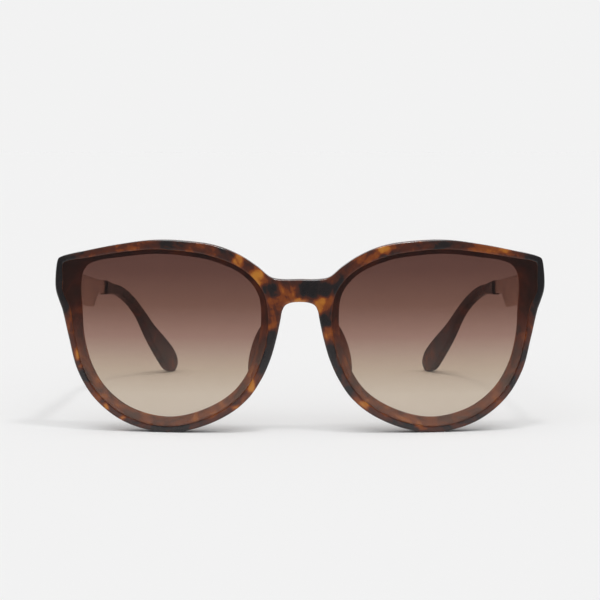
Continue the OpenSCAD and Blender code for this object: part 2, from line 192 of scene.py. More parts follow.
bridge_upper = curve(
    [top - 0.6 * lens_x, top, top + 0.6 * lens_x, shoulder] + brow_knots + [brow, rim_arc[STEPS]]
)
bridge_lower = curve(
    [rim_arc[-1 - STEPS], flank_low] + flank_knots + arch_knots + [arch_top, arch_top - nose_half]
)
half_outline = bridge_upper + rim_arc + bridge_lower[1:] + [arch_top]
outline = half_outline + mirrored(half_outline)[1:-1]


def on_front(p, depth):
    """A point of the front's plane, laid on the curved front at a depth below its surface."""
    return p.real, front_r - sqrt((front_r - depth) ** 2 - p.real ** 2), p.imag


def eased(share):
    share = min(1, max(0, share))
    return share * share * (3 - 2 * share)


def on_back(p, lift=0):
    """A point laid on the back, which steps out to the thick end pieces, and lifted forward of it."""
    x, y, z = on_front(p, rim_t)
    rise = eased((min(abs(x) - end_x, z - end_z) + step_lead) / step_w)
    return x, y + (butt_y - butt_inset - y) * rise - lift, z


def within(points, loop):
    """Which of the points lie inside a loop."""
    a, b = np.array(loop), np.roll(loop, -1)
    p = points[:, None]
    crossed = (a.imag > p.imag) != (b.imag > p.imag)
    rise = np.where(a.imag == b.imag, 1, b.imag - a.imag)
    return ((p.real < a.real + (p.imag - a.imag) * (b.real - a.real) / rise) & crossed).sum(1) % 2 == 1


class Skin:
    """A mesh in millimetres, gathered from strips between rings and from filled sheets, then welded."""

    def __init__(self):
        self.points, self.faces = [], []

    def strip(self, rings):
        start, count = len(self.points), len(rings[0])
        self.points += [p for ring in rings for p in ring]
        for row in range(len(rings) - 1):
            for i in range(count):
                a, b = start + row * count + i, start + row * count + (i + 1) % count
                self.faces.append((a, b, b + count, a + count))

    def sheet(self, outer, holes, place, spacing=0.9, extra=()):
        """Fills a loop, less its holes, with even triangles and places every point with a function."""
        loops = [outer] + holes
        rim = np.array([p for loop in loops for p in loop])

        def kept(points):
            cut = sum((within(points, hole) for hole in holes), np.zeros(len(points), bool))
            return within(points, outer) & ~cut

        low, high = rim.real.min() + 1j * rim.imag.min(), rim.real.max() + 1j * rim.imag.max()
        rows, columns = int((high - low).imag / spacing / ROW), int((high - low).real / spacing)
        field = np.array([
            low + spacing * complex(c + r % 2 / 2, ROW * r)
            for r in range(rows + 1) for c in range(columns + 1)
        ])
        clear = np.array([np.abs(rim - p).min() > 0.6 * spacing for p in field])
        field = np.concatenate([field[clear], np.array(extra, complex)])
        field = field[kept(field)]
        edges, start = [], 0
        for loop in loops:
            edges += [(start + i, start + (i + 1) % len(loop)) for i in range(len(loop))]
            start += len(loop)
        flat = [Vector((p.real, p.imag)) for p in list(rim) + list(field)]
        corners, _, triangles, *_ = delaunay_2d_cdt(flat, edges, [], 1, 1e-5)
        corners = np.array([complex(*corner) for corner in corners])
        start = len(self.points)
        self.points += [place(complex(corner)) for corner in corners]
        triangles = np.array(triangles)
        triangles = triangles[kept(corners[triangles].mean(1))]
        self.faces += [tuple(start + i for i in triangle) for triangle in triangles.tolist()]

    def mesh(self, name):
        mesh = bpy.data.meshes.new(name)
        mesh.from_pydata([(x * MM, cad_low.y + y * MM, z * MM) for x, y, z in self.points], [], self.faces)
        return mesh


def finished(mesh, material, body, slot, *nodes, sharp=35):
    """Welds a mesh, turns its faces out, shades it smooth and hands it to the frame as one piece."""
    work = bmesh.new()
    work.from_mesh(mesh)
    bmesh.ops.remove_doubles(work, verts=work.verts, dist=2e-6)
    bmesh.ops.dissolve_degenerate(work, edges=work.edges, dist=1e-7)
    bmesh.ops.recalc_face_normals(work, faces=work.faces)
    for face in work.faces:
        face.smooth = True
        face.material_index = 0
    for edge in work.edges:
        edge.smooth = edge.calc_face_angle(0) < radians(sharp)
    work.to_mesh(mesh)
    work.free()
    mesh.materials.clear()
    mesh.materials.append(material)
    piece = bpy.data.objects.new(mesh.name, mesh)
    scene.collection.objects.link(piece)
    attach(piece, body)
    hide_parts(*nodes)


def quarter(radius, count):
    """(in from the edge, down from the face) along a rounded edge, starting on the face."""
    turns = [pi / 2 * i / count for i in range(count + 1)]
    return [(radius * (1 - sin(a)), radius * (1 - cos(a))) for a in turns]


front = Skin()
face_loop = grown(outline, -edge_r)
seat_loop = grown(lens_loop, seat_mouth)
opening_back = grown(opening_loop, opening_r)

rings = [[on_front(p, depth) for p in grown(outline, -inset)] for inset, depth in quarter(edge_r, 5)]
wall_end = [on_back(p, edge_r) for p in outline]
rings += [
    [tuple(a + (b - a) * share for a, b in zip(low, high)) for low, high in zip(rings[-1], wall_end)]
    for share in (0.33, 0.67)
]
rings += [[on_back(p, lift) for p in grown(outline, -inset)] for inset, lift in reversed(quarter(edge_r, 4))]
front.strip(rings)
front.sheet(face_loop, [seat_loop, mirrored(seat_loop)], lambda p: on_front(p, 0), 0.5)

# Extra points of the back along both sides of the step, so that it comes out crisp.
step_rows = (0, 0.15, 0.3, 0.45, step_w)
step_line = [
    complex(end_x - step_lead + out, end_z + 0.4 * i) for out in step_rows for i in range(48)
] + [
    complex(end_x + 0.4 * i, end_z - step_lead + out) for out in step_rows for i in range(16)
]
front.sheet(
    face_loop, [opening_back, mirrored(opening_back)], on_back, extra=step_line + mirrored(step_line)
)
for half in HALVES.values():
    opening, seat = half(opening_loop), half(grown(lens_loop, seat_gap))
    edge = [[on_back(p, lift) for p in half(grown(opening_loop, gap))] for gap, lift in quarter(opening_r, 4)]
    front.strip(edge + [[on_front(p, lens_t) for p in opening]])
    front.sheet(seat, [opening], lambda p: on_front(p, lens_t))
    wall = [[on_front(p, d) for p in seat] for d in (lens_t, lens_t / 2, 0.12)]
    mouth = [[on_front(p, d) for p in half(grown(lens_loop, g))] for g, d in ((0.09, 0.04), (seat_mouth, 0))]
    front.strip(wall + mouth)


class Socket:
    """An output of a node; arithmetic on it adds Math nodes to the same tree."""

    def __init__(self, tree, output=None):
        self.tree, self.output = tree, output

    def node(self, kind, settings=None, values=None, output=0):
        """Adds a node: its settings first, then the values or links of its inputs."""
        made = self.tree.nodes.new(kind)
        for name, value in (settings or {}).items():
            if name == "stops":
                while len(made.color_ramp.elements) < len(value):
                    made.color_ramp.elements.new(1)
                for stop, (place, colour) in zip(made.color_ramp.elements, value):
                    stop.position, stop.color = place, (*colour, 1)
            else:
                setattr(made, name, value)
        for name, value in (values or {}).items():
            if isinstance(value, Socket):
                self.tree.links.new(value.output, made.inputs[name])
            else:
                made.inputs[name].default_value = value
        return Socket(self.tree, made.outputs[output] if made.outputs else None)

    def maths(self, operation, a, b):
        return self.node("ShaderNodeMath", {"operation": operation}, {0: a, 1: b})

    def __add__(self, other):
        return self.maths("ADD", self, other)

    def __sub__(self, other):
        return self.maths("SUBTRACT", self, other)

    def __rsub__(self, other):
        return self.maths("SUBTRACT", other, self)

    def __mul__(self, other):
        return self.maths("MULTIPLY", self, other)

    def __truediv__(self, other):
        return self.maths("DIVIDE", self, other)

    __radd__, __rmul__ = __add__, __mul__

    def noise(self, scale, detail=2, output=0):
        """Noise over this vector, at a scale per unit of it."""
        return self.node("ShaderNodeTexNoise", {}, {"Vector": self, "Scale": scale, "Detail": detail}, output)


def new_material(name):
    material = bpy.data.materials.new(name)
    material.use_nodes = True
    material.node_tree.nodes.clear()
    return material, Socket(material.node_tree)


def in_mm(tree):
    """Object coordinates in millimetres."""
    place = tree.node("ShaderNodeTexCoord", output="Object")
    return tree.node("ShaderNodeVectorMath", {"operation": "SCALE"}, {0: place, "Scale": 1 / MM})


acetate_tones = [
    (0.00, (0.012, 0.0105, 0.0115)), (0.30, (0.019, 0.0140, 0.0140)), (0.37, (0.044, 0.0170, 0.0130)),
    (0.54, (0.082, 0.0220, 0.0115)), (0.61, (0.155, 0.0370, 0.0110)), (0.74, (0.215, 0.0550, 0.0115)),
    (0.81, (0.320, 0.1000, 0.0150)), (1.00, (0.430, 0.1650, 0.0220)),
]
painted_glow_colour, painted_glow_share = (0.20, 0.105, 0.064, 1), 0.35    # painted glow, in place of light that would come through the sheet
eye_middle = Vector((40, 0, 29))


def tortoise(name, warmth, spread, shine=0.5, patches=0.0, glow=0.0):
    """Acetate: clouds from charcoal through red-brown to amber, drawn out round the eyes; the glow is a
    painted glow, an emission that stands in for light soaking through the sheet from behind."""
    material, tree = new_material(name)
    place = in_mm(tree)
    drift = tree.node(
        "ShaderNodeVectorMath", {"operation": "MULTIPLY_ADD"},
        {0: place.noise(0.16, 3, "Color"), 1: (7, 7, 7), 2: place}
    )
    from_middle = tree.node(
        "ShaderNodeVectorMath", {"operation": "SUBTRACT"},
        {0: tree.node("ShaderNodeVectorMath", {"operation": "ABSOLUTE"}, {0: place}), 1: eye_middle}
    )
    away = tree.node("ShaderNodeVectorMath", {"operation": "LENGTH"}, {0: from_middle}, "Value")
    round_eye = tree.node(
        "ShaderNodeVectorMath", {"operation": "MULTIPLY_ADD"},
        {0: tree.node("ShaderNodeVectorMath", {"operation": "NORMALIZE"}, {0: from_middle}), 1: (9, 9, 9),
         2: tree.node("ShaderNodeCombineXYZ", {}, {"Y": away * 1.6, "Z": drift.noise(0.1, 1) * 3})}
    )
    heat = warmth + (drift.noise(0.17, 3) - 0.5) * spread
    heat = heat + (round_eye.noise(0.8, 3) - 0.5) * (0.8 * spread)
    heat = heat + (drift.noise(0.9, 4) - 0.5) * 0.18
    if patches:
        heat = heat + tree.node("ShaderNodeAttribute", {"attribute_name": "warmth"}, output="Fac") * patches
    colour = tree.node("ShaderNodeValToRGB", {"stops": acetate_tones}, {0: heat})
    gloss = 0.06 + place.noise(0.5, 3) * 0.07
    # Painted glow: emission mixed from the acetate's colour and a warm light, in place of light through the
    # sheet.
    painted_glow_tint = tree.node(
        "ShaderNodeMix", {"data_type": "RGBA"}, {"Factor": painted_glow_share, 6: colour, 7: painted_glow_colour}, 2
    )
    surface = tree.node(
        "ShaderNodeBsdfPrincipled", {},
        {"Base Color": colour, "Roughness": gloss, "IOR": 1.49, "Specular IOR Level": shine,
         "Emission Color": painted_glow_tint, "Emission Strength": glow}
    )
    tree.node("ShaderNodeOutputMaterial", {}, {"Surface": surface})
    return material


# Warm and dark clouds of the sheet: (across, up, half width, half height, how much warmer).
clouds = [
    (-71.5, 47, 4.5, 11, -0.5), (71.5, 47, 4.5, 11, -0.5), (-42, 3, 22, 5, -0.12), (42, 3, 22, 5, -0.12),
    (-51, 55, 3.2, 1.4, 0.04), (-37, 56, 4, 2, -0.17), (-30.6, 55.6, 3.2, 1.6, 0.14),
    (-22, 53, 2.5, 2, -0.10), (-18.6, 51.2, 2, 1.8, 0.44), (-15.2, 49, 1.2, 1.3, -0.12),
    (-12.6, 45.6, 1.7, 3, 0.44), (-8.6, 43, 2.4, 1.9, -0.40), (-3.1, 42.6, 2.6, 2.2, 0.18),
    (5.2, 43.2, 5.6, 2.6, -0.46), (-1.3, 39.6, 3.2, 0.8, 0.36), (6.3, 38.3, 2.2, 2.2, 0.30),
    (7.5, 33.6, 1.9, 1.7, -0.36),
    (9.5, 23.6, 2.2, 3.4, -0.32), (11.2, 18.4, 2.6, 3.6, -0.34), (14.2, 13.2, 2.6, 2.8, -0.32),
    (8, 29.8, 1.4, 2.1, 0.24), (-7.8, 35, 1.5, 1.6, 0.20), (-7.9, 32.2, 1.4, 1.5, 0.30),
    (-8.8, 27, 2, 4, -0.34), (-10.8, 21, 2, 4, -0.34), (-14.2, 14.2, 1.2, 2.2, 0.38),
    (-18.3, 7.6, 1.8, 1.1, 0.34), (12, 43.6, 2.6, 3.6, -0.42), (19.9, 52.1, 4, 2.2, 0.28),
    (25.2, 54.8, 2.2, 1.3, 0.54), (40, 56.2, 5, 2, -0.18), (60.9, 54.4, 2.4, 1.1, 0.42),
    (-66.9, 22.6, 1.1, 2, 0.50), (-65.6, 19.4, 1, 1.1, 0.30), (-64.5, 16.4, 1.5, 2.4, -0.22),
    (-58.4, 7.6, 1.6, 1.2, 0.50), (-53.3, 4, 1.4, 0.9, 0.42), (-38, 1, 5, 1.1, -0.12),
    (66.7, 28.7, 1.2, 1.9, 0.32), (64, 14, 1.6, 2.4, -0.30), (36, 1.4, 2.4, 1, 0.40),
    (19.5, 9, 1.6, 1.3, 0.36),
]
CLOUD_EDGE = 2.718         # base of the fall-off at a cloud's edge
CLOUD_BEND, CLOUD_GRAIN = 1.2, 0.45
CLOUD_SEED = 5             # unseeded, the clouds would be bent anew in every run


def cloud_heat(spot):
    """How much warmer the clouds make the sheet at a spot."""
    heat = 0
    for x, z, half_w, half_h, much in clouds:
        away = ((spot.x - x) / half_w) ** 2 + ((spot.y - z) / half_h) ** 2
        heat += much * CLOUD_EDGE ** -(away ** 2)
    return heat


front_mesh = front.mesh("tortoise_front")
sheet_material = tortoise("tortoise_acetate", 0.50, 0.8, patches=1.0)
finished(front_mesh, sheet_material, "front", "tortoise_acetate", "front_frame")
sheet_heat = front_mesh.attributes.new("warmth", "FLOAT", "POINT")
noise.seed_set(CLOUD_SEED)
for i, vertex in enumerate(front_mesh.vertices):
    spot = Vector((vertex.co.x, vertex.co.z, 0)) / MM
    spot += CLOUD_BEND * noise.noise_vector(spot * CLOUD_GRAIN)
    sheet_heat.data[i].value = cloud_heat(spot)

# The milled seat behind each lens has no polish; a painted glow, an emission, stands in for the light
# that soaks into it through the sheet. Its faces lie inside the lens's outline and below the surface,
# and don't face back.
front_mesh.materials.append(tortoise("seat_acetate", 0.64, 1.1, 0.0, patches=0.4, glow=0.75))
front_faces = front_mesh.polygons
middles = np.array([complex(abs(face.center.x), face.center.z) / MM for face in front_faces])
in_seat = within(middles, grown(lens_loop, 0.08))
for face, middle, inside in zip(front_faces, middles, in_seat):
    depth = (face.center.y - cad_low.y) / MM - on_front(middle, 0)[1]
    if inside and depth > 0.3 and face.normal.y < 0.5:
        face.material_index = 1


# Lenses: two millimetres of clear plastic, curved like the front, dyed brown from the top by a slow
# dip and polished. Each is pressed into its seat from the front and lies flush with the rim.

lens_sunk, lens_clear, lens_bevel, lens_grid = 0.02, 0.04, 0.06, 1.6    # below the rim, above the seat
lens_tint = [
    (0.00, (0.668, 0.570, 0.472)), (0.18, (0.621, 0.523, 0.422)), (0.32, (0.506, 0.395, 0.299)),
    (0.51, (0.327, 0.192, 0.154)), (0.69, (0.192, 0.096, 0.072)), (0.88, (0.124, 0.056, 0.044)),
    (1.00, (0.110, 0.049, 0.039)),
]
lens_material, tree = new_material("gradient_lens")
height = tree.node("ShaderNodeSeparateXYZ", {}, {0: in_mm(tree)}, "Z")
tint = tree.node("ShaderNodeValToRGB", {"stops": lens_tint}, {0: (height - lens_z) / lens_h})
glass = tree.node(
    "ShaderNodeBsdfPrincipled", {},
    {"Base Color": tint, "Roughness": 0.0, "IOR": 1.5, "Transmission Weight": 1.0}
)
tree.node("ShaderNodeOutputMaterial", {}, {"Surface": glass})

for side, half in HALVES.items():
    lens = Skin()
    face, waist = half(grown(lens_loop, -lens_bevel)), half(lens_loop)
    for depth in (lens_sunk, lens_t - lens_clear):
        lens.sheet(face, [], lambda p: on_front(p, depth), lens_grid)
    lens.strip([
        [on_front(p, lens_sunk) for p in face],
        [on_front(p, lens_sunk + lens_bevel) for p in waist],
        [on_front(p, lens_t - (lens_clear + lens_bevel)) for p in waist],
        [on_front(p, lens_t - lens_clear) for p in face]
    ])
    finished(
        lens.mesh(f"gradient_lens_{side}"), lens_material, "front", "gradient_lens", f"{side}_lens", sharp=25
    )


# Nose pads: fins of the same acetate, cut to a half ellipse, tumbled soft and bonded to the back of
# the nasal rims. They lean with the rim and open towards the wearer.

def sweep_tree():
    """A bar swept along stations, with a rounded section whose half sizes each station carries."""
    group = bpy.data.node_groups.new("rounded_bar", "GeometryNodeTree")
    inputs = {
        "Stations": "NodeSocketGeometry", "Edge radius": "NodeSocketFloat",
        "Corner points": "NodeSocketInt", "Material": "NodeSocketMaterial"
    }
    for name, kind in inputs.items():
        group.interface.new_socket(name, in_out="INPUT", socket_type=kind)
    group.interface.new_socket("Bar", in_out="OUTPUT", socket_type="NodeSocketGeometry")
    tree = Socket(group)
    given = {name: tree.node("NodeGroupInput", output=name) for name in inputs}

    def read(name):
        return tree.node("GeometryNodeInputNamedAttribute", {"data_type": "FLOAT_VECTOR"}, {"Name": name})

    def keep(geometry, name, value):
        return tree.node(
            "GeometryNodeStoreNamedAttribute", {"data_type": "FLOAT_VECTOR", "domain": "POINT"},
            {"Geometry": geometry, "Name": name, "Value": value}
        )

    def parts(vector):
        split = tree.node("ShaderNodeSeparateXYZ", {}, {0: vector}).output.node
        return [Socket(group, split.outputs[axis]) for axis in "XYZ"]

    def pair(a, b):
        return tree.node("ShaderNodeCombineXYZ", {}, {"X": a, "Y": b})

    def scaled(vector, by):
        return tree.node("ShaderNodeVectorMath", {"operation": "SCALE"}, {0: vector, "Scale": by})

    def summed(a, b):
        return tree.node("ShaderNodeVectorMath", {"operation": "ADD"}, {0: a, 1: b})

    def of(operation, a, b=0.0):
        return tree.maths(operation, a, b)

    # The section: four corners, each a quarter circle of its own points.
    index = tree.node("GeometryNodeInputIndex")
    count = given["Corner points"]
    corner = of("FLOOR", index / count)
    share = (index - corner * count) / (count - 1)
    turn = (corner + share) * (pi / 2)
    square = corner * (pi / 2) + pi / 4
    circle = tree.node("GeometryNodeMeshCircle", {}, {"Vertices": count * 4, "Radius": MM})
    circle = keep(circle, "corner", pair(of("SIGN", of("COSINE", square)), of("SIGN", of("SINE", square))))
    circle = keep(circle, "round", pair(of("COSINE", turn), of("SINE", turn)))

    spine = keep(given["Stations"], "spine", tree.node("GeometryNodeInputPosition"))
    bar = tree.node(
        "GeometryNodeCurveToMesh", {},
        {"Curve": tree.node("GeometryNodeMeshToCurve", {}, {"Mesh": spine}),
         "Profile Curve": tree.node("GeometryNodeMeshToCurve", {}, {"Mesh": circle}), "Fill Caps": True}
    )
    half_t, half_h, _ = parts(read("half"))
    radius = of("MINIMUM", given["Edge radius"], of("MINIMUM", half_t, half_h))
    (corner_x, corner_y, _), (round_x, round_y, _) = parts(read("corner")), parts(read("round"))
    across = corner_x * (half_t - radius) + round_x * radius
    up = corner_y * (half_h - radius) + round_y * radius
    place = summed(read("spine"), summed(scaled(read("side"), across), scaled(read("rise"), up)))
    bar = tree.node("GeometryNodeSetPosition", {}, {"Geometry": bar, "Position": place})
    bar = tree.node("GeometryNodeRealizeInstances", {}, {"Geometry": bar})
    bar = tree.node("GeometryNodeSetMaterial", {}, {"Geometry": bar, "Material": given["Material"]})
    tree.node("NodeGroupOutput", {}, {"Bar": bar})
    return group


rounded_bar = sweep_tree()
CORNER_POINTS = 6          # points on each rounded corner of a bar


def swept(name, stations, radius, material):
    """A mesh swept along stations of (middle, side, rise, half thickness, half height) in millimetres."""
    mesh = bpy.data.meshes.new(name + "_stations")
    middles = [Vector(s[0]) * MM for s in stations]
    mesh.from_pydata(middles, [(i, i + 1) for i in range(len(stations) - 1)], [])
    for key, values in (
        ("side", [s[1] for s in stations]), ("rise", [s[2] for s in stations]),
        ("half", [(s[3] * MM, s[4] * MM, 0) for s in stations])
    ):
        attribute = mesh.attributes.new(key, "FLOAT_VECTOR", "POINT")
        attribute.data.foreach_set("vector", [n for value in values for n in value])
    line = bpy.data.objects.new(name + "_stations", mesh)
    scene.collection.objects.link(line)
    sweep = line.modifiers.new("sweep", "NODES")
    sweep.node_group = rounded_bar
    inputs = {i.name: i.identifier for i in rounded_bar.interface.items_tree if i.in_out == "INPUT"}
    sweep[inputs["Edge radius"]] = radius * MM
    sweep[inputs["Corner points"]] = CORNER_POINTS
    sweep[inputs["Material"]] = material
    solid = bpy.data.meshes.new_from_object(line.evaluated_get(bpy.context.evaluated_depsgraph_get()))
    solid.name = name
    bpy.data.objects.remove(line)
    return solid


pad_l, pad_t, pad_reach, pad_x, pad_z = 18, 3.2, 6, 9.425, 24
pad_foot, pad_edge_r, pad_least = -0.6, 0.9, 0.3  # foot, a little inside the rim; edges; least half height
pad_turn = Euler((0, radians(-17.9), radians(-28))).to_matrix()
pad_side, pad_rise = pad_turn @ Vector((1, 0, 0)), pad_turn @ Vector((0, 1, 0))
# The pads get a painted glow as well, an emission in place of light through the sheet.
pad_material = tortoise("nose_pad_acetate", 0.63, 0.5, 0.1, glow=0.5)
for side, sign in SIDES.items():
    flip = Vector((sign, 1, 1))
    stations = []
    for i in range(25):
        lengthwise = pad_l / 2 * sin(radians(-88 + 176 * i / 24))
        reach = pad_reach * sqrt(1 - (lengthwise / (pad_l / 2)) ** 2)
        middle = pad_turn @ Vector((pad_t / 2, (reach + pad_foot) / 2, lengthwise))
        middle += Vector((pad_x, rim_t, pad_z))
        middle.y += cad_low.y / MM
        half_reach = max(pad_least, (reach - pad_foot) / 2)
        stations.append((middle * flip, pad_side * flip, pad_rise * flip, pad_t / 2, half_reach))
    finished(
        swept(f"nose_pad_{side}", stations, pad_edge_r, pad_material), pad_material, "front",
        "tortoise_acetate", f"{side}_nose_pad", sharp=50
    )


# Hinges: three barrels on a screw, of plated nickel silver. The front leaf is sunk into the end piece
# and the temple leaf is soldered to the arm; every edge is broken by tumbling.

def metal(name, colour, rough):
    """Polished metal with fine lengthwise tool marks and a slight unevenness of its colour."""
    material, tree = new_material(name)
    place = in_mm(tree)
    along = tree.node("ShaderNodeVectorMath", {"operation": "MULTIPLY"}, {0: place, 1: (6, 0.5, 9)})
    streak, cloud = along.noise(1, 3), place.noise(0.15, 2)
    shade = tree.node(
        "ShaderNodeMix", {"data_type": "RGBA"},
        {"Factor": cloud, 6: (*[c * 0.93 for c in colour], 1), 7: (*colour, 1)}, 2
    )
    surface = tree.node(
        "ShaderNodeBsdfPrincipled", {},
        {"Base Color": shade, "Metallic": 1.0, "Roughness": rough + streak * 0.12}
    )
    tree.node("ShaderNodeOutputMaterial", {}, {"Surface": surface})
    return material


slot_l, slot_w, slot_cut, hinge_edge = 4, 0.4, 0.6, 0.1    # slot and its half-sunk cutter, broken edges


def slotted(mesh, axis):
    """The screw's mesh with a screwdriver slot cut across its head."""
    screw = bpy.data.objects.new("screw", mesh)
    top = max(vertex.co.z for vertex in mesh.vertices)
    work = bmesh.new()
    bmesh.ops.create_cube(work, size=1)
    bmesh.ops.scale(work, vec=(slot_l * MM, slot_w * MM, slot_cut * MM), verts=work.verts)
    bmesh.ops.translate(work, vec=(axis.x, axis.y, top), verts=work.verts)
    cutter = bpy.data.objects.new("slot", bpy.data.meshes.new("slot"))
    work.to_mesh(cutter.data)
    work.free()
    for item in (screw, cutter):
        scene.collection.objects.link(item)
    cut = screw.modifiers.new("slot", "BOOLEAN")
    cut.object = cutter
    cut.solver = "EXACT"
    solid = bpy.data.meshes.new_from_object(screw.evaluated_get(bpy.context.evaluated_depsgraph_get()))
    for item in (screw, cutter):
        bpy.data.objects.remove(item)
    return solid


hinge_material = metal("hinge_metal", (0.66, 0.55, 0.46), 0.18)
for side, sign in SIDES.items():
    for kind, body in (
        ("front_hinge", "front"), ("hinge_screw", "front"), ("temple_hinge", f"{side}_temple")
    ):
        solid = frame["nodes"][f"{side}_{kind}"].data
        if kind == "hinge_screw":
            solid = slotted(solid, Vector((sign * hinge.x * MM, cad_low.y + hinge.y * MM, 0)))
        work = bmesh.new()
        work.from_mesh(solid)
        bmesh.ops.remove_doubles(work, verts=work.verts, dist=1e-6)
        bmesh.ops.dissolve_limit(work, angle_limit=radians(2), verts=work.verts, edges=work.edges)
        keen = [edge for edge in work.edges if edge.calc_face_angle(0) > radians(40)]
        bmesh.ops.bevel(
            work, geom=keen, offset=hinge_edge * MM, segments=2, affect="EDGES", profile=0.5,
            clamp_overlap=True
        )
        mesh = bpy.data.meshes.new(f"{kind}_metal_{side}")
        work.to_mesh(mesh)
        work.free()
        finished(mesh, hinge_material, body, "hinge_metal", f"{side}_{kind}", sharp=30)


# Temple arms: stamped from rose-gold plated sheet, a tall plate that steps down to a slim bar, then
# polished with softly broken edges. The bar's end runs on as a tang inside the tip.

toe_in = radians(2.3)
arm_drop, arm_t, plate_h, bar_h = radians(7.6), 1.5, 9.5, 4.2
arm_top = hinge.z + plate_h / 2
plate_l, step_end, arm_l, tang_l, arm_mid = 39, 49, 60, 8, 2.2
arm_start, arm_end_r, arm_edge_r = -1.3, 0.3, 0.28    # front end, its rounding, and the broken edges
bow_start, bow_r = 44, 212


def on_temple(sign, x, y, z):
    """A point of a temple, measured from its hinge axis, along the arm and up, in the frame."""
    return Vector((
        sign * (hinge.x + x * cos(toe_in) - y * sin(toe_in)),
        cad_low.y / MM + hinge.y + x * sin(toe_in) + y * cos(toe_in), z
    ))


def turned(sign, x, y, z):
    return on_temple(sign, x, y, z) - on_temple(sign, 0, 0, 0)


def bow(y):
    """How far out the temple's middle lies, and how fast that changes."""
    along = max(0, y - bow_start)
    fall = sqrt(bow_r ** 2 - along ** 2)
    return arm_mid - bow_r + fall, -along / fall


def arm_upper(y):
    return arm_top - tan(arm_drop) * y


arm_material = metal("rose_gold_metal", (0.68, 0.50, 0.40), 0.16)
# Stations along the arm, and how much the rounded front end takes off there.
turns = [radians(18 * i) for i in range(6)]
places = [(arm_start + arm_end_r * (1 - cos(a)), arm_end_r * (1 - sin(a))) for a in turns]
places += [(2 + 3 * i, 0) for i in range(12)] + [(36 + 0.5 * i, 0) for i in range(33)]
places += [(53 + i, 0) for i in range(7)] + [(arm_l - 0.02, 0)]
places += [(arm_l + tang_l * share, 0) for share in (0, 0.5, 1)]
for side, sign in SIDES.items():
    stations = []
    for y, blunt in places:
        step = min(1, max(0, (y - plate_l) / (step_end - plate_l)))
        high = plate_h + (bar_h - plate_h) * step
        upper, lower = arm_upper(y), arm_upper(y) - high
        if y >= arm_l:
            middle = arm_upper(y) - bar_h / 2
            upper, lower = middle + bar_h / 4, middle - bar_h / 4
        stations.append((
            on_temple(sign, bow(y)[0], y, (upper + lower) / 2), turned(sign, 1, 0, 0), (0, 0, 1),
            arm_t / 2 - blunt, (upper - lower) / 2 - blunt
        ))
    finished(
        swept(f"rose_gold_arm_{side}", stations, arm_edge_r, arm_material), arm_material, f"{side}_temple",
        "rose_gold_metal", f"{side}_temple_arm", sharp=40
    )


# Temple tips: dark tortoise acetate, pushed hot over the tang, bent down behind the ear and towards
# the head, slim at the bend and ending in a flat rounded paddle.

tip_t, tip_h, neck_h = 2.78, 4.8, 3.38
paddle_h, paddle_end, paddle_shift, paddle_thin = 8.2, 7.4, 1.2, 0.6
mouth_r, tip_edge_r = 0.35, 0.7                   # rounding of the tip's mouth and of its long edges
tip_straight, ear_r, ear_drop = 12, 58, radians(43.5)
bend_y = arm_l + tip_straight
bend_z = arm_upper(bend_y) - bar_h / 2
bend_end_y = bend_y + ear_r * (sin(ear_drop) - sin(arm_drop))
bend_end_z = bend_z - ear_r * (cos(arm_drop) - cos(ear_drop))
paddle_z = abs(complex(paddle_end * sin(ear_drop), paddle_h / 2 * cos(ear_drop)))
run_l = (bend_end_z + paddle_shift * cos(ear_drop) - paddle_z) / sin(ear_drop)
run_end_y = bend_end_y + run_l * cos(ear_drop)
swell_y = bend_y + 0.75 * (bend_end_y - bend_y)   # the tip stays slim up to here


def tip_half(y):
    if y < bend_y:
        return (tip_h + (neck_h - tip_h) * eased((y - arm_l) / tip_straight)) / 2
    return (neck_h + (paddle_h - neck_h) * eased((y - swell_y) / (run_end_y - swell_y))) / 2


# The tip's middle line from the side: (along, up, angle below level, half height, half thickness).
tip_line = []
for i in range(5):
    a = radians(90 * i / 4)
    y, blunt = arm_l + mouth_r * (1 - cos(a)), mouth_r * (1 - sin(a))
    tip_line.append((y, arm_upper(y) - bar_h / 2, arm_drop, tip_half(y) - blunt, tip_t / 2 - blunt))
for i in range(1, 12):
    y = arm_l + mouth_r + (tip_straight - mouth_r) * i / 12
    tip_line.append((y, arm_upper(y) - bar_h / 2, arm_drop, tip_half(y), tip_t / 2))
for i in range(25):
    a = arm_drop + (ear_drop - arm_drop) * i / 24
    y = bend_y + ear_r * (sin(a) - sin(arm_drop))
    tip_line.append((y, bend_z - ear_r * (cos(arm_drop) - cos(a)), a, tip_half(y), tip_t / 2))
for i in range(1, 13):
    y = bend_end_y + run_l * cos(ear_drop) * i / 12
    off = paddle_shift * eased(i / 12)
    z = bend_end_z - run_l * sin(ear_drop) * i / 12 + off * cos(ear_drop)
    tip_line.append((y + off * sin(ear_drop), z, ear_drop, tip_half(y), tip_t / 2))
tip_end_y = tip_line[-1][0]
for i in range(1, 16):
    a = radians(5.7 * i)
    out = paddle_end * sin(a)
    tip_line.append((
        tip_end_y + out * cos(ear_drop), paddle_z - out * sin(ear_drop), ear_drop,
        paddle_h / 2 * cos(a), tip_t / 2 * (1 - paddle_thin * (1 - cos(a)) ** 2)
    ))

tip_material = tortoise("dark_acetate", 0.46, 0.75, 0.07)
for side, sign in SIDES.items():
    stations = []
    for y, z, fall, half_h, half_t in tip_line:
        x, slope = bow(y)
        rise = turned(sign, slope * sin(fall), sin(fall), cos(fall))
        stations.append((on_temple(sign, x, y, z), turned(sign, 1, 0, 0), rise, half_t, half_h))
    finished(
        swept(f"dark_tip_{side}", stations, tip_edge_r, tip_material), tip_material, f"{side}_temple",
        "dark_acetate", f"{side}_temple_tip", sharp=50
    )


# Stage: a pale paper floor that runs away behind the glasses into a pale backdrop, a dim room in front,
# soft light overhead, and one small lamp in front and to one side, which draws the shadows.

